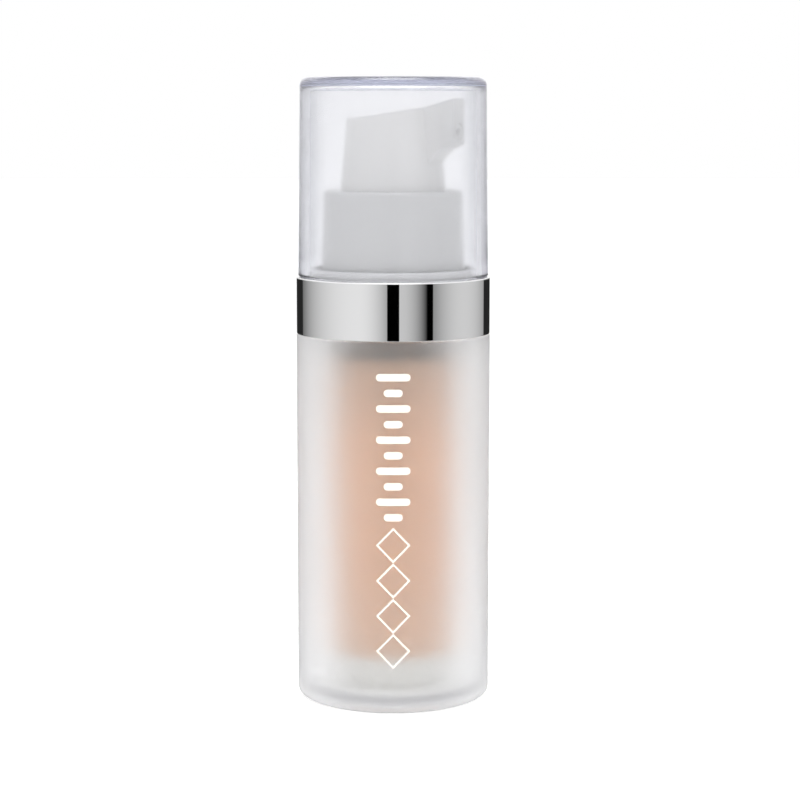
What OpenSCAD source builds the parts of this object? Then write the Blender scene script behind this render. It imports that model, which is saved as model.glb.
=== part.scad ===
// Double-walled airless pump bottle for liquid foundation, with a frosted overcap.
// Millimetres, +Z up. The origin is the centre of the base, on the surface it stands on.

/* [Outer bottle] */
// Outside diameter of the frosted body
bottle_d = 36.3; // [36.1:0.05:36.4]
// Height of the frosted body, up to the metal band
body_h = 69; // [60:0.5:90]
// Thickness of the outer shell's wall
shell_t = 2.8; // [2.2:0.1:3.2]
// Thickness of the outer shell's base
base_t = 2.6; // [2:0.1:3.5]
// Radius of the edge that the bottle stands on
foot_r = 1.5; // [0.8:0.1:2.2]

/* [Inner bottle] */
// Outside diameter of the inner bottle
inner_d = 27.6; // [26.4:0.1:28.2]
// Thickness of the inner bottle's wall
inner_t = 0.9; // [0.7:0.05:1.1]

/* [Metal band] */
// Outside diameter of the metal band
band_d = 36.5; // [36.5:0.05:36.8]
// Height of the metal band
band_h = 10.6; // [9.5:0.1:14]

/* [Overcap] */
// Height of the overcap
cap_h = 36.8; // [36:0.1:44]
// Outside diameter of the overcap at its rim
cap_rim_d = 35.7; // [35.2:0.1:36.3]
// Outside diameter of the overcap at its top
cap_top_d = 34.8; // [34.4:0.1:35.2]
// Thickness of the overcap's top plate
cap_roof_t = 1.6; // [1.2:0.1:2.2]

/* [Pump] */
// Height of the white sleeve above the metal band
sleeve_h = 16; // [15.6:0.1:16.6]
// Outside diameter of the sleeve at its foot
sleeve_foot_d = 26.8; // [26.2:0.1:27.4]
// Outside diameter of the sleeve at its top
sleeve_top_d = 25.8; // [25.4:0.1:26.2]
// Diameter of the pump head where it enters the sleeve
head_d = 19.6; // [19:0.1:19.8]
// Distance from the axis to the tip of the spout
spout_reach = 13.4; // [13.2:0.1:14.6]
// Direction that the spout faces, turned from +X towards +Y
spout_azimuth = -30; // [-180:5:180]
// Travel of the pump head
stroke = 5.5; // [4:0.1:5.5]

/* [Hidden] */
$fn = 128;

// Clearances
fit = 0.05;           // between parts that are pressed or snapped together
slide = 0.03;         // radial clearance of a sliding seal
cap_fit = 0.1;        // radial clearance of the overcap on its spigot
head_fit = 0.25;      // radial clearance of the pump head in the sleeve

// Levels that follow from the metal band's top
band_top = body_h + band_h;
rim_z = band_top - 3.2;          // rim of the outer bottle
hanger_t = 1.2;                  // flange of the inner bottle that rests on that rim
deck_z = rim_z + hanger_t;       // underside of the shoulder ring's deck
deck_top = band_top - 0.5;
spigot_top = band_top + 1.6;     // spigot that the overcap fits over
neck_top = band_top + 2.8;
sleeve_top = band_top + sleeve_h;
cap_top = band_top + cap_h;

// Outer bottle
bottle_r = bottle_d / 2;
bore_r = bottle_r - shell_t;
collar_seat_r = bottle_r - 0.95; // reduced rim that the shoulder ring snaps on
body_top = body_h - 0.1;         // leaves a hairline gap under the metal band
body_edge_r = 0.4;
vent_r = 1;
recess_r = 13.2;
recess_h = 0.5;
bead_z = body_h + 4.5;
bead_h = 0.22;

// Inner bottle
inner_r = inner_d / 2;
tank_r = inner_r - inner_t;
tank_z = base_t + 0.2;
plug_t = 1.2;                    // plate that closes the tank's open end
roof_edge = body_h - 4;          // where the tank's wall meets its conical roof
roof_top = roof_edge + 2.4;      // where the roof meets the throat
throat_r = 5;
neck_r = 10.2;
neck_bore_r = 9;
snap_z = neck_top - 1.6;         // middle of the neck's snap bead

// Follower piston
follower_z = tank_z + 1.5;
follower_r = tank_r - slide;

// Pump engine
gasket_t = 0.8;
flange_z = neck_top + gasket_t;
flange_top = flange_z + 1.2;
turret_top = flange_top + 1.2;
flange_r = 10.4;
chamber_r = 3.75;                // pump chamber's bore
barrel_r = throat_r - fit;
chamber_z = roof_top + 5.6;
ball_r = 1.6;
inlet_r = 1.2;
ball_room_r = 2.4;
seat_z = roof_top + 1.8;         // small end of the ball's 45 degree seat
ball_z = seat_z - inlet_r + ball_r * sqrt(2) + fit;
stem_r = 2.5;
stem_bore_r = 1.4;
stem_z = flange_top - 1.2;
poppet_z = stem_z - 4.2;
seal_z = poppet_z + 0.85;
seal_h = 2.75;
guide_top = flange_top + 3.6;
spring_r = 4.4;
wire_d = 0.7;
spring_z = flange_top + 1;
spring_cap_z = band_top + 17.4;  // underside of the stem's spring flange
spring_turns = 5.5;
stem_top = spring_cap_z + 4.2;

// Pump head
head_r = head_d / 2;
head_z = sleeve_top - 4;
head_top_r = head_r - 1.7;
dish_r = 66;                     // finger dish across the head's top
dish_x = -8;
dish_z = sleeve_top + 13.3;      // lowest line of the dish
head_wall = 1.25;
channel_z = dish_z - 2.5;
channel_r = 1;
channel_wall = 1;
spout_w = 5.8;
beak_r = 7.5;                    // hollow under the spout
beak_x = spout_reach + 2;
beak_z = sleeve_top + 1.3;
insert_r = 1.65;
insert_l = 1.5;

// Sleeve
sleeve_wall = 1.2;
sleeve_hole_r = head_r + head_fit;
turret_r = 11.6;

// Overcap
cap_rim_r = cap_rim_d / 2;
cap_top_r = cap_top_d / 2;
spigot_r = 15.7;
cap_bore_r = spigot_r + cap_fit;
cap_bore_top_r = cap_top_r - 1.9;
cap_edge_r = 1.5;

// Points of an arc round [x, z], from angle a to angle b
function arc(x, z, r, a, b, n = 8) =
    [for (i = [0:n]) let (t = a + (b - a) * i / n) [x + r * cos(t), z + r * sin(t)]];

// Revolves a closed outline of [radius, height] points about Z
module lathe(points) {
    rotate_extrude() polygon(points);
}

module outer_bottle() {
    color([0.93, 0.93, 0.92, 0.5])
        lathe(concat(
            [[vent_r, recess_h], [recess_r, recess_h], [recess_r + 0.6, 0]],
            arc(bottle_r - foot_r, foot_r, foot_r, -90, 0),
            arc(bottle_r - body_edge_r, body_top - body_edge_r, body_edge_r, 0, 90, 5),
            [
                [collar_seat_r, body_top],
                [collar_seat_r, bead_z - 0.6],
                [collar_seat_r + bead_h, bead_z - 0.2],
                [collar_seat_r + bead_h, bead_z + 0.2],
                [collar_seat_r, bead_z + 0.8],
                [collar_seat_r, rim_z - 0.4],
                [collar_seat_r - 0.4, rim_z],
                [bore_r, rim_z]
            ],
            arc(bore_r - 1.2, base_t + 1.2, 1.2, 0, -90),
            [[vent_r, base_t]]
        ));
}

module inner_bottle() {
    color([0.96, 0.95, 0.93, 0.6])
        lathe(concat(
            [[tank_r, tank_z], [inner_r, tank_z]],
            arc(inner_r - 1.6, roof_edge + 0.3, 1.6, 0, 70),
            [
                [neck_r, roof_edge + 2.3],
                [neck_r, rim_z],
                [collar_seat_r - 0.4, rim_z],
                [collar_seat_r - 0.1, rim_z + 0.3],
                [collar_seat_r - 0.1, deck_z],
                [neck_r, deck_z],
                [neck_r, snap_z - 0.6],
                [neck_r + 0.5, snap_z - 0.2],
                [neck_r + 0.5, snap_z + 0.2],
                [neck_r, snap_z + 0.8],
                [neck_r, neck_top],
                [neck_bore_r, neck_top],
                [neck_bore_r, roof_edge + 2.1],
                [throat_r + 1, roof_top + 0.8],
                [throat_r + 1, roof_top + 3],
                [throat_r, roof_top + 3],
                [throat_r, roof_top],
                [tank_r, roof_edge]
            ]
        ));
}

// Closes the inner bottle's open end and lets air in under the follower
module inner_base() {
    color("white")
        difference() {
            translate([0, 0, tank_z])
                cylinder(r = tank_r - fit, h = plug_t);
            for (turn = [0:60:300])
                rotate(turn)
                    translate([6.5, 0, tank_z - 1])
                        cylinder(r = 0.8, h = plug_t + 2, $fn = 32);
            translate([0, 0, tank_z - 1])
                cylinder(r = 1.5, h = plug_t + 2, $fn = 48);
        }
}

// Outline of the follower's top, from its lip inwards, raised by lift
function follower_top(lift = 0) = [
    [follower_r - 0.2, follower_z + 5.1 + lift],
    [follower_r - 0.75, follower_z + 4.1 + lift],
    [follower_r - 1.4, follower_z + 4.2 + lift],
    [throat_r, follower_z + 6.2 + lift],
    [0, follower_z + 6.4 + lift]
];

module follower_piston() {
    color([0.9, 0.9, 0.9])
        lathe(concat(
            follower_top(),
            [
                [0, follower_z + 5.2],
                [throat_r, follower_z + 5],
                [follower_r - 1.6, follower_z + 3],
                [follower_r - 1.4, follower_z + 1.2],
                [follower_r - 0.4, follower_z],
                [follower_r, follower_z],
                [follower_r, follower_z + 0.5],
                [follower_r - 0.55, follower_z + 1.6],
                [follower_r - 0.55, follower_z + 3.4],
                [follower_r, follower_z + 4.6],
                [follower_r, follower_z + 5.1]
            ]
        ));
}

module foundation_fill() {
    color([0.87, 0.69, 0.57])
        lathe(concat(
            [
                [0, roof_top - fit],
                [throat_r, roof_top - fit],
                [tank_r - slide, roof_edge - fit],
                [tank_r - slide, follower_z + 5.1 + fit]
            ],
            follower_top(fit)
        ));
}

module shoulder_ring() {
    color([0.93, 0.93, 0.94])
        lathe([
            [collar_seat_r + fit, body_h + 0.45],
            [collar_seat_r + 0.55, body_h + 0.45],
            [collar_seat_r + 0.55, deck_top],
            [spigot_r, deck_top],
            [spigot_r, spigot_top - 0.3],
            [spigot_r - 0.3, spigot_top],
            [spigot_r - 1.2, spigot_top],
            [spigot_r - 1.2, deck_top],
            [12.2, deck_top],
            [12.2, deck_z + fit],
            [collar_seat_r + fit, deck_z + fit],
            [collar_seat_r + fit, bead_z + 0.9],
            [collar_seat_r + bead_h + fit, bead_z + 0.3],
            [collar_seat_r + bead_h + fit, bead_z - 0.3],
            [collar_seat_r + fit, bead_z - 0.8]
        ]);
}

module collar_band() {
    band_r = band_d / 2;
    foot_edge = 0.15;
    top_edge = 0.25;
    skin_r = collar_seat_r + 0.6;
    color([0.8, 0.8, 0.82])
        lathe(concat(
            [[collar_seat_r + 0.1, body_h]],
            arc(band_r - foot_edge, body_h + foot_edge, foot_edge, -90, 0, 3),
            arc(band_r - top_edge, band_top - top_edge, top_edge, 0, 90, 4),
            [
                [spigot_r + fit, band_top],
                [spigot_r + fit, deck_top + fit],
                [skin_r, deck_top + fit],
                [skin_r, body_h + 0.4],
                [collar_seat_r + 0.1, body_h + 0.4]
            ]
        ));
}

module neck_gasket() {
    color([0.85, 0.87, 0.88])
        lathe([
            [neck_bore_r, neck_top],
            [flange_r - 0.1, neck_top],
            [flange_r - 0.1, flange_z],
            [neck_bore_r, flange_z]
        ]);
}

module pump_housing() {
    lip_r = 1.35;
    color([0.95, 0.95, 0.95])
        difference() {
            lathe([
                [inlet_r, roof_top],
                [barrel_r, roof_top],
                [barrel_r, flange_z],
                [neck_bore_r - 1, flange_z],
                [neck_bore_r - 1, flange_z - 3],
                [neck_bore_r - fit, flange_z - 3],
                [neck_bore_r - fit, flange_z],
                [flange_r, flange_z],
                [flange_r, flange_top],
                [chamber_r, flange_top],
                [chamber_r, chamber_z],
                [lip_r, chamber_z],
                [lip_r, chamber_z - 0.6],
                [ball_room_r, chamber_z - 0.6],
                [ball_room_r, seat_z + ball_room_r - inlet_r],
                [inlet_r, seat_z]
            ]);
            for (turn = [0:120:240])
                rotate(turn)
                    translate([0, -0.4, chamber_z - 0.7])
                        cube([ball_room_r, 0.8, 1]);
        }
}

module inlet_ball() {
    color([0.75, 0.77, 0.8])
        translate([0, 0, ball_z])
            sphere(r = ball_r, $fn = 64);
}

module snap_turret() {
    skirt_z = deck_top - 0.7;
    ledge_z = snap_z - 0.65;
    skirt_in = neck_r + 0.6;
    color("white")
        difference() {
            lathe([
                [turret_r, skirt_z],
                [turret_r, turret_top],
                [7, turret_top],
                [7, flange_top],
                [skirt_in, flange_top],
                [skirt_in, ledge_z],
                [neck_r + 0.1, ledge_z],
                [neck_r + 0.1, ledge_z - 0.9],
                [skirt_in, skirt_z]
            ]);
            for (turn = [0:45:315])
                rotate(turn)
                    translate([neck_r - 0.5, -0.5, skirt_z - 1])
                        cube([3, 1, 4]);
        }
}

module stem_guide() {
    color([0.95, 0.95, 0.95])
        lathe([
            [stem_r + 0.1, stem_z + 0.1],
            [chamber_r - fit, stem_z + 0.1],
            [chamber_r - fit, flange_top],
            [6.9, flange_top],
            [6.9, spring_z],
            [3.6, spring_z],
            [3.6, guide_top - 0.3],
            [3.3, guide_top],
            [stem_r + 0.1, guide_top]
        ]);
}

// Coil spring with closed end turns, swept as rings of wire along a helix
module return_spring() {
    sides = 8;
    steps = 22;
    rings = floor(spring_turns * steps);
    length = spring_cap_z - spring_z - wire_d;
    // Share of the length that the coil has climbed after a share u of its turns
    function climb(u) =
        let (dead = 1 / spring_turns, v = (u - dead) / (1 - 2 * dead))
        u < dead ? u * 0.62 / dead * wire_d / length
        : u > 1 - dead ? 1 - (1 - u) * 0.62 / dead * wire_d / length
        : let (low = 0.62 * wire_d / length) low + (1 - 2 * low) * v;
    points = [
        for (i = [0:rings], k = [0:sides - 1])
            let (
                turn = 360 * i / steps,
                around = 360 * k / sides,
                r = spring_r + wire_d / 2 * cos(around)
            )
            [
                r * cos(turn),
                r * sin(turn),
                spring_z + wire_d / 2 + length * climb(i / rings) + wire_d / 2 * sin(around)
            ]
    ];
    faces = concat(
        [[for (k = [0:sides - 1]) k]],
        [
            for (i = [0:rings - 1], k = [0:sides - 1])
                let (a = i * sides, b = a + sides, m = (k + 1) % sides)
                [a + k, b + k, b + m, a + m]
        ],
        [[for (k = [sides - 1:-1:0]) rings * sides + k]]
    );
    color([0.7, 0.72, 0.75])
        polyhedron(points = points, faces = faces, convexity = 10);
}

module valve_poppet() {
    shank_r = 2;
    color([0.93, 0.93, 0.95])
        difference() {
            lathe([
                [0, poppet_z],
                [2.6, poppet_z],
                [3, poppet_z + 0.3],
                [3, poppet_z + 0.6],
                [shank_r, poppet_z + 0.8],
                [shank_r, stem_z - fit],
                [stem_bore_r - 0.02, stem_z - fit],
                [stem_bore_r - 0.02, stem_z + 6.8],
                [0.7, stem_z + 6.8],
                [0.7, poppet_z + 1.1],
                [0, poppet_z + 1.1]
            ]);
            for (turn = [0, 90])
                rotate(turn)
                    translate([0, 0, poppet_z + 1.6])
                        rotate([90, 0, 0])
                            cylinder(r = 0.5, h = 6, center = true, $fn = 32);
        }
}

module piston_seal() {
    lip_r = chamber_r - slide;
    color([0.88, 0.9, 0.92])
        lathe([
            [2.05, seal_z + 0.15],
            [2.7, seal_z + 0.15],
            [3.3, seal_z],
            [lip_r, seal_z],
            [lip_r, seal_z + 0.4],
            [3.2, seal_z + 1.05],
            [3.2, seal_z + 1.75],
            [lip_r, seal_z + seal_h - 0.4],
            [lip_r, seal_z + seal_h],
            [3.3, seal_z + seal_h],
            [2.7, seal_z + seal_h - 0.3],
            [2.05, seal_z + seal_h - 0.3]
        ]);
}

module pump_stem() {
    color([0.95, 0.95, 0.95])
        lathe([
            [stem_bore_r, stem_z],
            [stem_r, stem_z],
            [stem_r, spring_cap_z],
            [spring_r + 1, spring_cap_z],
            [spring_r + 1, spring_cap_z + 0.8],
            [stem_r, spring_cap_z + 0.8],
            [stem_r, stem_top - 0.3],
            [stem_r - 0.3, stem_top],
            [stem_bore_r, stem_top]
        ]);
}

module closure_sleeve() {
    edge = 0.8;
    foot_z = deck_top + fit;
    foot_rad = sleeve_foot_d / 2;
    top_rad = sleeve_top_d / 2;
    bore = turret_r + fit;
    color("white")
        lathe(concat(
            [[bore, foot_z], [foot_rad, foot_z]],
            arc(top_rad - edge, sleeve_top - edge, edge, 0, 90),
            [
                [sleeve_hole_r + 0.3, sleeve_top],
                [sleeve_hole_r, sleeve_top - 0.3],
                [sleeve_hole_r, sleeve_top - sleeve_wall],
                [bore, sleeve_top - sleeve_wall]
            ]
        ));
}

// The head's outside: a tapered barrel and a beaked spout, both cut by the finger dish
module head_form() {
    top = dish_z + 6;
    spout_z = dish_z - 10;
    tip_r = spout_w / 2;
    straight_l = spout_reach - tip_r + 1;
    difference() {
        union() {
            lathe([
                [0, head_z],
                [head_r - 0.3, head_z],
                [head_r, head_z + 0.3],
                [head_r, sleeve_top],
                [head_top_r, top],
                [0, top]
            ]);
            difference() {
                translate([0, 0, spout_z])
                    linear_extrude(top - spout_z) {
                        translate([0, -tip_r]) square([straight_l, spout_w]);
                        intersection() {
                            translate([straight_l, 0]) circle(r = tip_r);
                            translate([0, -tip_r]) square([spout_reach, spout_w]);
                        }
                    }
                translate([beak_x, 0, beak_z])
                    rotate([90, 0, 0])
                        cylinder(r = beak_r, h = 4 * spout_w, center = true);
            }
        }
        translate([dish_x, 0, dish_z + dish_r])
            rotate([90, 0, 0])
                cylinder(r = dish_r, h = 4 * head_d, center = true, $fn = 256);
    }
}

module pump_head() {
    cavity_top = dish_z - 1.7;
    socket_z = spring_cap_z + 0.85;
    color("white")
        rotate(spout_azimuth)
            difference() {
                union() {
                    difference() {
                        head_form();
                        lathe([
                            [0, head_z - 1],
                            [head_r - head_wall, head_z - 1],
                            [head_r - head_wall, sleeve_top],
                            [head_top_r - head_wall + 0.1, cavity_top],
                            [0, cavity_top]
                        ]);
                    }
                    translate([0, 0, socket_z])
                        cylinder(r = 4, h = cavity_top - socket_z + 0.2);
                    translate([0, 0, channel_z])
                        rotate([0, 90, 0])
                            cylinder(r = channel_r + channel_wall, h = head_r - 0.8, $fn = 64);
                }
                translate([0, 0, socket_z - 1])
                    cylinder(r = stem_r + fit, h = stem_top + 0.1 - socket_z + 1);
                translate([0, 0, socket_z])
                    cylinder(r = stem_bore_r, h = channel_z - socket_z, $fn = 64);
                translate([0, 0, channel_z])
                    rotate([0, 90, 0])
                        cylinder(r = channel_r, h = spout_reach + 1, $fn = 64);
                translate([spout_reach - insert_l - 0.1, 0, channel_z])
                    rotate([0, 90, 0])
                        cylinder(r = insert_r + 0.02, h = insert_l + 1, $fn = 64);
            }
}

module nozzle_insert() {
    color([0.9, 0.9, 0.9])
        rotate(spout_azimuth)
            translate([spout_reach - insert_l - 0.05, 0, channel_z])
                rotate([0, 90, 0])
                    lathe([
                        [0.5, 0],
                        [insert_r, 0],
                        [insert_r, insert_l - 0.2],
                        [insert_r - 0.2, insert_l],
                        [0.9, insert_l],
                        [0.5, insert_l - 0.6]
                    ]);
}

module overcap() {
    color([0.9, 0.9, 0.95, 0.4])
        lathe(concat(
            [[cap_bore_r, band_top], [cap_rim_r - 0.3, band_top], [cap_rim_r, band_top + 0.3]],
            arc(cap_top_r - cap_edge_r, cap_top - cap_edge_r, cap_edge_r, 0, 90),
            [[0, cap_top], [0, cap_top - cap_roof_t]],
            arc(cap_bore_top_r - 1, cap_top - cap_roof_t - 1, 1, 90, 0),
            [[cap_bore_r, spigot_top + 1]]
        ));
}

outer_bottle();
inner_bottle();
inner_base();
follower_piston();
foundation_fill();
shoulder_ring();
collar_band();
neck_gasket();
pump_housing();
inlet_ball();
snap_turret();
stem_guide();
return_spring();
valve_poppet();
piston_seal();
pump_stem();
closure_sleeve();
pump_head();
nozzle_insert();
overcap();
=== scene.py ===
"""Foundation bottle: looks, stage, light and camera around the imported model. Metres, row frame."""

import math

import bmesh
import bpy
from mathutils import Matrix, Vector


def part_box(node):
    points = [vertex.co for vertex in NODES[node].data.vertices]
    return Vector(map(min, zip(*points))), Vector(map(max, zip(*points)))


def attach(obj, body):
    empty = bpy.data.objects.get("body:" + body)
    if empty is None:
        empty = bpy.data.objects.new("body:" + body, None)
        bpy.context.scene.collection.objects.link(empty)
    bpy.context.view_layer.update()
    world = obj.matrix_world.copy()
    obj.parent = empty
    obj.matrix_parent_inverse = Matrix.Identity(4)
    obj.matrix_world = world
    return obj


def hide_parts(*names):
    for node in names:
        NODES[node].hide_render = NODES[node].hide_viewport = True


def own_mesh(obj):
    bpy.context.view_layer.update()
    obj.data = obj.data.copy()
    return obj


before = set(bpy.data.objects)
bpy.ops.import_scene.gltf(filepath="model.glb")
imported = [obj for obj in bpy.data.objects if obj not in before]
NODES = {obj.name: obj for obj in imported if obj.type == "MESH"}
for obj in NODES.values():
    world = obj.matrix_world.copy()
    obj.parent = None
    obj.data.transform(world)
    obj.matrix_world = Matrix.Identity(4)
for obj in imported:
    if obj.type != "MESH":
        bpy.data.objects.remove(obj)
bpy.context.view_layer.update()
MM = 0.001

# --- Places, from the frame -------------------------------------------------

BODY_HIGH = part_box("outer_bottle")[1]
FILL_LOW, FILL_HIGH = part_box("foundation_fill")
SPRING_LOW, SPRING_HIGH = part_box("return_spring")
CAP_LOW, CAP_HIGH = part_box("overcap")
FOLLOWER_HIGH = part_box("follower_piston")[1]


# --- Small helpers for node materials ---------------------------------------


class Paint:
    """A node material with one Principled shader, and the nodes that vary it."""

    def __init__(self, name, **values):
        self.material = bpy.data.materials.new(name)
        self.material.use_nodes = True
        self.tree = self.material.node_tree
        self.shader = self.tree.nodes["Principled BSDF"]
        self.output = self.tree.nodes["Material Output"]
        for socket, value in values.items():
            self.shader.inputs[socket.replace("_", " ")].default_value = value
        self.place = self.node("ShaderNodeTexCoord").outputs["Object"]

    def node(self, kind, **settings):
        made = self.tree.nodes.new(kind)
        for key, value in settings.items():
            setattr(made, key, value)
        return made

    def link(self, out, into):
        self.tree.links.new(out, into)

    def drive(self, socket, out):
        """Links an output to a socket of the shader."""
        self.link(out, self.shader.inputs[socket])

    def stretched(self, scale):
        """The place, scaled along each axis, so that a pattern can run round or along the piece."""
        mapping = self.node("ShaderNodeMapping")
        mapping.inputs["Scale"].default_value = scale
        self.link(self.place, mapping.inputs["Vector"])
        return mapping.outputs["Vector"]

    def noise(self, scale, detail=2.0, rough=0.5, place=None):
        """A noise value. Scale is in waves per metre."""
        made = self.node("ShaderNodeTexNoise")
        made.inputs["Scale"].default_value = scale
        made.inputs["Detail"].default_value = detail
        made.inputs["Roughness"].default_value = rough
        self.link(place or self.place, made.inputs["Vector"])
        return made.outputs["Fac"]

    def between(self, value, low, high, from_low=0.0, from_high=1.0):
        """Maps a value onto low to high."""
        made = self.node("ShaderNodeMapRange")
        made.inputs["From Min"].default_value = from_low
        made.inputs["From Max"].default_value = from_high
        made.inputs["To Min"].default_value = low
        made.inputs["To Max"].default_value = high
        self.link(value, made.inputs["Value"])
        return made.outputs["Result"]

    def blend(self, factor, first, second):
        """A colour between two, each an output or four numbers."""
        made = self.node("ShaderNodeMix", data_type="RGBA")
        sockets = (made.inputs[0], made.inputs[6], made.inputs[7])
        for socket, value in zip(sockets, (factor, first, second)):
            if hasattr(value, "node"):
                self.link(value, socket)
            else:
                socket.default_value = value
        return made.outputs[2]

    def bump(self, height, strength, distance):
        """Fine relief on the whole surface."""
        made = self.node("ShaderNodeBump")
        made.inputs["Strength"].default_value = strength
        made.inputs["Distance"].default_value = distance
        self.link(height, made.inputs["Height"])
        self.drive("Normal", made.outputs["Normal"])

    def radius(self):
        """Distance from the bottle's axis."""
        flat = self.node("ShaderNodeVectorMath", operation="MULTIPLY")
        flat.inputs[1].default_value = (1, 1, 0)
        self.link(self.place, flat.inputs[0])
        length = self.node("ShaderNodeVectorMath", operation="LENGTH")
        self.link(flat.outputs["Vector"], length.inputs[0])
        return length.outputs["Value"]

    def height(self):
        """Height above the surface that the bottle stands on."""
        split = self.node("ShaderNodeSeparateXYZ")
        self.link(self.place, split.inputs["Vector"])
        return split.outputs["Z"]

    def aslant(self, low, high):
        """0 where the surface is faced, 1 where it is seen edge-on."""
        made = self.node("ShaderNodeLayerWeight")
        made.inputs["Blend"].default_value = 0.5
        return self.between(made.outputs["Facing"], 0, 1, low, high)

    def absorb(self, colour, density):
        """Tints what passes through by the length of its way through the plastic."""
        made = self.node("ShaderNodeVolumeAbsorption")
        made.inputs["Color"].default_value = colour
        made.inputs["Density"].default_value = density
        self.link(made.outputs["Volume"], self.output.inputs["Volume"])


def grey(value, alpha=1.0):
    return (value, value, value, alpha)


# --- Materials --------------------------------------------------------------


def frosted_acrylic():
    """Clear acrylic, a little smoky where it is thick: its outside is etched, its inside smooth."""
    made = Paint("frosted_acrylic", Base_Color=(0.97, 0.97, 0.97, 1), IOR=1.49)
    etched_from = BODY_HIGH.x - 0.8 * MM
    outside = made.between(made.radius(), 0, 1, etched_from, etched_from + 0.3 * MM)
    made.drive("Roughness", made.between(outside, 0.12, 0.74))
    made.drive("Transmission Weight", made.between(outside, 1.0, 0.96))
    made.bump(made.noise(9000, 3), strength=0.15, distance=0.02 * MM)
    made.absorb((0.0, 0.0, 0.05, 1), 22)
    return made.material


def cap_acrylic():
    """Clear acrylic with a cool tint where it is thick, and a satin inside. Its colour goes darker where it
    is seen edge-on: partly a tint for the longer way through, partly painted shade, lighter at the roof and
    near the foot.
    """
    made = Paint("cap_acrylic", IOR=1.49)
    clear = (0.98, 0.98, 0.985, 1)
    # Painted shade: edge colours that darken the wall where it is seen edge-on, lighter at the roof and the
    # foot; partly a tint for the longer way through the plastic.
    wall_edge_painted_shade = (0.4, 0.41, 0.45, 1)
    roof_edge_painted_shade = (0.72, 0.72, 0.95, 1)
    foot_edge_painted_shade = (0.9, 0.9, 0.98, 1)
    high = made.between(made.height(), 0, 1, CAP_HIGH.z - 2.4 * MM, CAP_HIGH.z - 1.4 * MM)
    low = made.between(made.height(), 1, 0, CAP_LOW.z + 2.2 * MM, CAP_LOW.z + 3.6 * MM)
    edge = made.blend(low, made.blend(high, wall_edge_painted_shade, roof_edge_painted_shade), foot_edge_painted_shade)
    # Mixes in the painted edge shade where the surface is seen edge-on.
    made.drive("Base Color", made.blend(made.aslant(0.38, 0.85), clear, edge))
    wall_middle = CAP_HIGH.x - 1.0 * MM
    roof_middle = CAP_HIGH.z - 0.8 * MM
    beside = made.between(made.radius(), 1, 0, wall_middle - 0.4 * MM, wall_middle)
    under = made.between(made.height(), 1, 0, roof_middle - 0.2 * MM, roof_middle)
    both = made.node("ShaderNodeMath", operation="MULTIPLY")
    made.link(beside, both.inputs[0])
    made.link(under, both.inputs[1])
    inside = both.outputs["Value"]
    made.drive("Roughness", made.between(inside, 0.03, 0.2))
    made.drive("Transmission Weight", made.between(inside, 1.0, 0.86))
    made.absorb((0.2, 0.28, 0.65, 1), 17)
    return made.material


def milky_plastic():
    """Natural polypropylene: see-through and slightly blurred. A low IOR bends light little."""
    made = Paint(
        "milky_plastic", Base_Color=(0.99, 0.985, 0.97, 1), IOR=1.25, Roughness=0.35, Transmission_Weight=0.97
    )
    made.bump(made.noise(1500, 2), strength=0.05, distance=0.05 * MM)
    return made.material


def foundation():
    """Thick emulsion, a little uneven, and paler towards the foot of the tank; towards the top it is lighter
    by painted light that lifts the shade under the metal band.
    """
    made = Paint("foundation", Roughness=0.35)
    swirl = made.noise(90, 3, 0.55, made.stretched((1, 1, 0.5)))
    rich = made.blend(swirl, (0.94, 0.51, 0.29, 1), (0.96, 0.57, 0.35, 1))
    # Painted light: the colour goes paler and brighter towards the top, against the shade under the metal
    # band.
    high = made.between(made.height(), 0, 1, 48 * MM, 63 * MM)
    low = made.between(made.height(), 0.6, 0, 10 * MM, 28 * MM)
    pale_foot = (0.99, 0.68, 0.5, 1)
    painted_light_top = (1.0, 0.63, 0.42, 1)
    made.drive("Base Color", made.blend(high, made.blend(low, rich, pale_foot), painted_light_top))
    made.bump(made.noise(700, 3), strength=0.1, distance=0.1 * MM)
    return made.material


def polished_aluminium():
    """Mirror-bright band with the faintest turning marks round it."""
    made = Paint("polished_aluminium", Base_Color=(0.91, 0.91, 0.915, 1), Metallic=1.0)
    marks = made.noise(160, 4, 0.6, made.stretched((1, 1, 90)))
    made.drive("Roughness", made.between(marks, 0.015, 0.04))
    made.bump(marks, strength=0.02, distance=0.01 * MM)
    return made.material


def white_plastic(name, dark, light):
    """Moulded white polypropylene with a satin gloss, its colour between two near greys."""
    made = Paint(name)
    made.drive("Base Color", made.blend(made.noise(120, 2), dark, light))
    made.drive("Roughness", made.between(made.noise(500, 2), 0.2, 0.27))
    made.bump(made.noise(2500, 2), strength=0.04, distance=0.03 * MM)
    return made.material


def soft_seal():
    """White polyethylene, duller than the moulded parts round it."""
    made = Paint("soft_seal", Base_Color=(0.96, 0.96, 0.95, 1), Roughness=0.5)
    made.bump(made.noise(1800, 2), strength=0.06, distance=0.04 * MM)
    return made.material


def steel(name, roughness, streaks):
    """Bare steel. streaks stretches its marks along each axis."""
    made = Paint(name, Base_Color=(0.62, 0.63, 0.65, 1), Metallic=1.0)
    marks = made.noise(900, 3, 0.6, made.stretched(streaks))
    made.drive("Roughness", made.between(marks, roughness * 0.8, roughness * 1.3))
    made.bump(marks, strength=0.05, distance=0.01 * MM)
    return made.material


def white_ink():
    """Screen-printed ink, slightly warm."""
    made = Paint("white_ink", Roughness=0.45)
    cover = made.noise(3000, 2)
    made.drive("Base Color", made.blend(cover, (0.84, 0.78, 0.69, 1), (0.88, 0.82, 0.73, 1)))
    made.bump(made.noise(6000, 2), strength=0.05, distance=0.01 * MM)
    return made.material


# --- Mesh pieces ------------------------------------------------------------


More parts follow.
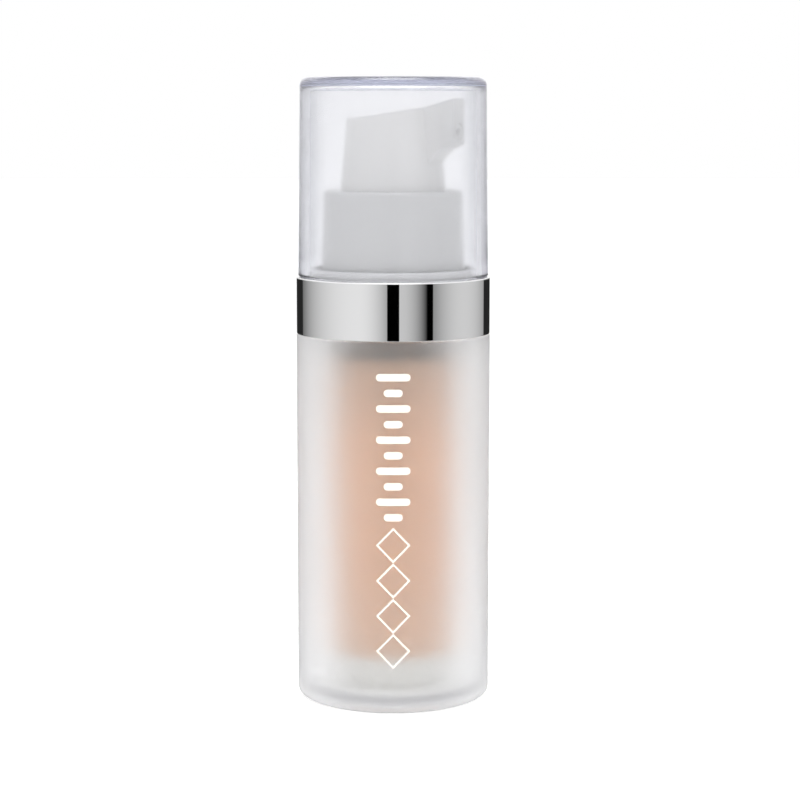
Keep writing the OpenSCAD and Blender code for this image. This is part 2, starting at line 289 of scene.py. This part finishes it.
def finished(name, shape):
    """Turns a bmesh into a mesh with its normals outwards."""
    bmesh.ops.recalc_face_normals(shape, faces=shape.faces)
    mesh = bpy.data.meshes.new(name)
    shape.to_mesh(mesh)
    shape.free()
    return mesh


def add_piece(name, mesh, material, body):
    """A visible piece that rides on a body."""
    piece = bpy.data.objects.new(name, mesh)
    bpy.context.scene.collection.objects.link(piece)
    piece.data.materials.append(material)
    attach(piece, body)
    return piece


def lathe_mesh(name, outline, sides=160):
    """A closed mesh turned about Z from [radius, height] points that start and end on the axis."""
    shape = bmesh.new()
    rings = []
    for radius, height in outline:
        if radius < 1e-9:
            rings.append([shape.verts.new((0, 0, height))])
            continue
        turns = [2 * math.pi * i / sides for i in range(sides)]
        rings.append([shape.verts.new((radius * math.cos(t), radius * math.sin(t), height)) for t in turns])
    for low, high in zip(rings, rings[1:]):
        for i in range(sides):
            j = (i + 1) % sides
            corners = [low[i % len(low)], low[j % len(low)], high[j % len(high)], high[i % len(high)]]
            shape.faces.new(list(dict.fromkeys(corners)))
    mesh = finished(name, shape)
    mesh.shade_smooth()
    return mesh


def make_cream():
    """The foundation: it fills the tank down to the follower and wets its wall."""
    wet = 0.05 * MM
    radius = FILL_HIGH.x + wet
    cone_z = FILL_HIGH.z - 2.4 * MM
    throat = 5 * MM
    lip_z = FOLLOWER_HIGH.z - 1.25 * MM
    lip_width = 1.4 * MM
    clear = 0.1 * MM
    outline = [
        (0, FILL_HIGH.z),
        (throat, FILL_HIGH.z),
        (radius, cone_z),
        (radius, lip_z),
        (radius - lip_width, FILL_LOW.z + clear),
        (throat, FOLLOWER_HIGH.z - clear),
        (0, FOLLOWER_HIGH.z + clear),
    ]
    piece = add_piece("cream", lathe_mesh("cream", outline), foundation(), "bottle")
    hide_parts("foundation_fill")
    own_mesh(piece)
    return piece


def make_spring():
    """Return spring of round wire, with closed end turns."""
    wire = 0.35 * MM
    turns = 5.5
    closed = 1.0
    rise_when_closed = 0.62
    steps, sides = 40, 14
    coil = SPRING_HIGH.x - wire
    foot, head = SPRING_LOW.z + wire, SPRING_HIGH.z - wire
    lift = rise_when_closed * 2 * wire

    def climb(turn):
        if turn < closed:
            return foot + lift * turn / closed
        if turn > turns - closed:
            return head - lift * (turns - turn) / closed
        share = (turn - closed) / (turns - 2 * closed)
        return foot + lift + (head - foot - 2 * lift) * share

    shape = bmesh.new()
    rings = []
    count = int(turns * steps)
    for i in range(count + 1):
        turn = i / steps
        angle = 2 * math.pi * turn
        ring = []
        for k in range(sides):
            around = 2 * math.pi * k / sides
            r = coil + wire * math.cos(around)
            z = climb(turn) + wire * math.sin(around)
            ring.append(shape.verts.new((r * math.cos(angle), r * math.sin(angle), z)))
        rings.append(ring)
    for low, high in zip(rings, rings[1:]):
        for k in range(sides):
            m = (k + 1) % sides
            shape.faces.new((low[k], high[k], high[m], low[m]))
    shape.faces.new(rings[0])
    shape.faces.new(rings[-1])
    mesh = finished("spring_coil", shape)
    mesh.shade_smooth()
    piece = add_piece("spring_coil", mesh, steel("spring_wire", 0.22, (1, 1, 6)), "bottle")
    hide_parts("return_spring")
    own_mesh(piece)
    return piece


# The ornament on the front: one column of plain shapes up the bottle, bold above and fine below
PRINT_TOP = 63.2 * MM
PRINT_FOOT = 8.7 * MM
PRINT_BREAK = 36.2 * MM
PRINT_HALF = 3.15 * MM
INK = 0.04 * MM


def wrapped(x, z, lift):
    """A point on the front of the body, x along its round and z up, raised by lift."""
    radius = BODY_HIGH.x + lift
    angle = x / BODY_HIGH.x
    return (radius * math.sin(angle), -radius * math.cos(angle), z)


def stamp(shape, rows, closed):
    """Adds a thin printed strip to shape. rows are its crosswise pairs of [x, z] edge points."""
    sunk = 0.3 * INK
    lifts = (-sunk, INK)
    grid = [[[shape.verts.new(wrapped(x, z, lift)) for lift in lifts] for x, z in row] for row in rows]
    spans = list(zip(grid, grid[1:] + grid[:1] if closed else grid[1:]))
    for (a, b), (c, d) in spans:
        for side in (0, 1):
            shape.faces.new((a[side], b[side], d[side], c[side]))
        shape.faces.new((a[0], a[1], c[1], c[0]))
        shape.faces.new((b[0], b[1], d[1], d[0]))
    if not closed:
        for a, b in (grid[0], grid[-1]):
            shape.faces.new((a[0], a[1], b[1], b[0]))


def print_bar(shape, z, half, thick):
    """A crosswise bar with round ends."""
    round_r = thick / 2
    steps = 8
    turns = [math.pi * (i + 0.5) / steps for i in range(steps // 2)]
    ends = [(half - round_r + round_r * math.cos(t), round_r * math.sin(t)) for t in turns]
    middle = [(half - round_r, round_r), (half / 3, round_r)]
    right = ends + middle
    left = [(-x, r) for x, r in right[::-1]]
    stamp(shape, [[(x, z - r), (x, z + r)] for x, r in right + left], False)


def print_diamond(shape, z, wide, tall, stroke):
    """A thin outline with four equal sides. wide and tall are its half width and half height."""
    corners = [(wide, 0), (0, tall), (-wide, 0), (0, -tall)]
    inner = 1 - stroke * math.hypot(wide, tall) / (wide * tall)
    steps = 6
    rows = []
    for (xa, ya), (xb, yb) in zip(corners, corners[1:] + corners[:1]):
        for i in range(steps):
            x, y = xa + (xb - xa) * i / steps, ya + (yb - ya) * i / steps
            rows.append([(x * inner, z + y * inner), (x, z + y)])
    stamp(shape, rows, True)


def make_print():
    """Plain ornament: bold bars above, a chain of fine diamonds below."""
    shape = bmesh.new()
    bold = 1.35 * MM
    fine = 0.34 * MM
    bars = 10
    short = 0.55 * PRINT_HALF
    pitch = (PRINT_TOP - PRINT_BREAK - bold) / (bars - 1)
    for i in range(bars):
        half = short if i % 2 else PRINT_HALF
        print_bar(shape, PRINT_TOP - bold / 2 - i * pitch, half, bold)
    diamonds = 4
    gap = 1.2 * MM
    tall = (PRINT_BREAK - gap - PRINT_FOOT) / (2 * diamonds)
    for i in range(diamonds):
        print_diamond(shape, PRINT_FOOT + (2 * i + 1) * tall, PRINT_HALF, tall, fine)
    mesh = finished("front_print", shape)
    return add_piece("front_print", mesh, white_ink(), "bottle")


# --- Stage ------------------------------------------------------------------

EYE = Vector((0, -0.4197, 0.1112))
PITCH_DOWN = math.radians(7.48)
LENS = 100.9
SENSOR = 36
SHIFT = 0.0085


def make_camera():
    """Long lens in front of the bottle, a little above it and turned down."""
    data = bpy.data.cameras.new("camera")
    data.lens = LENS
    data.sensor_width = SENSOR
    data.shift_x = SHIFT
    data.clip_start = 0.01
    camera = bpy.data.objects.new("camera", data)
    camera.location = EYE
    camera.rotation_euler = (math.pi / 2 - PITCH_DOWN, 0, 0)
    bpy.context.scene.collection.objects.link(camera)
    bpy.context.scene.camera = camera


def make_world():
    """A white room: plain white all round, brighter towards the front and overhead."""
    world = bpy.data.worlds.new("studio")
    world.use_nodes = True
    tree = world.node_tree
    background = tree.nodes["Background"]
    background.inputs["Color"].default_value = grey(1.0)
    direction = tree.nodes.new("ShaderNodeTexCoord")
    split = tree.nodes.new("ShaderNodeSeparateXYZ")
    tree.links.new(direction.outputs["Generated"], split.inputs["Vector"])

    def ramp(out, low, high, from_low, from_high):
        made = tree.nodes.new("ShaderNodeMapRange")
        made.interpolation_type = "SMOOTHSTEP"
        values = {"From Min": from_low, "From Max": from_high, "To Min": low, "To Max": high}
        for socket, value in values.items():
            made.inputs[socket].default_value = value
        tree.links.new(split.outputs[out], made.inputs["Value"])
        return made.outputs["Result"]

    total = tree.nodes.new("ShaderNodeMath")
    total.operation = "ADD"
    tree.links.new(ramp("Y", 1.46, 1.0, -0.8, 0.1), total.inputs[0])
    tree.links.new(ramp("Z", 0.0, 6.0, 0.88, 1.0), total.inputs[1])
    tree.links.new(total.outputs["Value"], background.inputs["Strength"])
    bpy.context.scene.world = world


def make_floor():
    """Plain white table that glows a little, most of all under the bottle's middle."""
    bpy.ops.mesh.primitive_plane_add(size=6)
    floor = bpy.context.object
    floor.name = "floor"
    table_near, table_far = 0.02, 0.4
    core, core_edge = 0.010, 0.016
    made = Paint("floor", Base_Color=grey(0.6), Roughness=0.9)
    made.shader.inputs["Specular IOR Level"].default_value = 0
    made.shader.inputs["Emission Color"].default_value = grey(1.0)
    glow = made.node("ShaderNodeMath", operation="ADD")
    made.link(made.between(made.radius(), 0.58, 0.16, table_near, table_far), glow.inputs[0])
    made.link(made.between(made.radius(), 0.6, 0.0, core, core_edge), glow.inputs[1])
    made.drive("Emission Strength", glow.outputs["Value"])
    floor.data.materials.append(made.material)


# Soft panels round the bottle: left edge, brightest place and right edge, each as (angle, light).
# Angles are in degrees from the front towards +X.
PANELS = (
    ((-130, 0.15), (-40, 0.82), (-7, 0.4)),
    ((7, 0.6), (7, 0.6), (39, 0.0)),
    ((46, 0.28), (88, 0.65), (130, 0.35)),
    ((158, 1.0), (180, 1.0), (202, 1.0)),
)
FRONT_FLAG = 0.0
SIDE_FLAG = 0.02

# The tent from its skirt on the floor upwards, as (radius, height, share of plain light, plain light)
TENT_ROWS = (
    (0.03, 0.0003, 0.5, 0.6),
    (0.25, 0.0003, 0.0, 1.0),
    (0.25, 0.0615, 0.0, 1.0),
    (0.25, 0.08, 0.5, 1.1),
    (0.25, 0.18, 0.8, 1.2),
)


def panel_light(angle):
    """Light falls off from a panel's brightest place to its edges. Between the panels are black flags."""
    for left, middle, right in PANELS:
        if left[0] <= angle <= right[0]:
            edge = left if angle < middle[0] else right
            share = (angle - middle[0]) / (edge[0] - middle[0])
            return middle[1] + (edge[1] - middle[1]) * share**2
    return FRONT_FLAG if abs(angle) < 90 else SIDE_FLAG


def make_tent():
    """A low wall of soft light and black flags all round, with a skirt, which only mirrors see."""
    start, steps = -150, 720
    angles = [start + 360 * i / steps for i in range(steps + 1)]
    columns = [(math.radians(angle), panel_light(angle)) for angle in angles]
    shape = bmesh.new()
    layer = shape.loops.layers.float_color.new("light")
    for left, right in zip(columns, columns[1:]):
        for low, high in zip(TENT_ROWS, TENT_ROWS[1:]):
            corners = []
            for (angle, light), (radius, height, plain, level) in (
                (left, low), (right, low), (right, high), (left, high)
            ):
                place = (radius * math.sin(angle), -radius * math.cos(angle), height)
                corners.append((place, light * (1 - plain) + level * plain))
            face = shape.faces.new([shape.verts.new(place) for place, _ in corners])
            for loop, (_, light) in zip(face.loops, corners):
                loop[layer] = grey(light)
    mesh = bpy.data.meshes.new("light_tent")
    shape.to_mesh(mesh)
    shape.free()
    tent = bpy.data.objects.new("light_tent", mesh)
    bpy.context.scene.collection.objects.link(tent)
    made = bpy.data.materials.new("tent_light")
    made.use_nodes = True
    tree = made.node_tree
    tree.nodes.clear()
    light = tree.nodes.new("ShaderNodeVertexColor")
    light.layer_name = "light"
    glow = tree.nodes.new("ShaderNodeEmission")
    output = tree.nodes.new("ShaderNodeOutputMaterial")
    tree.links.new(light.outputs["Color"], glow.inputs["Color"])
    tree.links.new(glow.outputs["Emission"], output.inputs["Surface"])
    mesh.materials.append(made)
    tent.visible_camera = False
    tent.visible_diffuse = False
    tent.visible_shadow = False
    tent.visible_transmission = False


# --- Making -----------------------------------------------------------------

make_camera()
make_world()
make_floor()
make_tent()

WHITE = white_plastic("white_plastic", (0.77, 0.765, 0.75, 1), (0.8, 0.795, 0.78, 1))
# Painted shade: the sleeve is the same white plastic as the head, made darker where less light reaches it.
SLEEVE_PAINTED_SHADE = white_plastic("white_sleeve_painted_shade", (0.71, 0.71, 0.7, 1), (0.74, 0.74, 0.73, 1))
# Painted light: the shoulder ring is the same white plastic, made brighter to lift the shade on its deck.
RING_PAINTED_LIGHT = white_plastic("white_ring_painted_light", (0.93, 0.93, 0.92, 1), (0.95, 0.95, 0.94, 1))
MILKY = milky_plastic()
SEAL = soft_seal()
COATS = {
    "outer_bottle": frosted_acrylic(),
    "overcap": cap_acrylic(),
    "collar_band": polished_aluminium(),
    "inlet_ball": steel("ball_steel", 0.08, (1, 1, 1)),
    "return_spring": steel("spring_steel", 0.25, (1, 1, 6)),
    "closure_sleeve": SLEEVE_PAINTED_SHADE,
    "shoulder_ring": RING_PAINTED_LIGHT,
    **dict.fromkeys(("pump_head", "nozzle_insert", "snap_turret", "pump_housing"), WHITE),
    **dict.fromkeys(("inner_bottle", "stem_guide", "pump_stem", "valve_poppet"), MILKY),
    **dict.fromkeys(("inner_base", "follower_piston", "neck_gasket", "piston_seal", "foundation_fill"), SEAL),
}
for name, coat in COATS.items():
    mesh = NODES[name].data
    mesh.materials.clear()
    mesh.materials.append(coat)

make_cream()
make_spring()
make_print()

scene = bpy.context.scene
scene.view_settings.view_transform = "Standard"
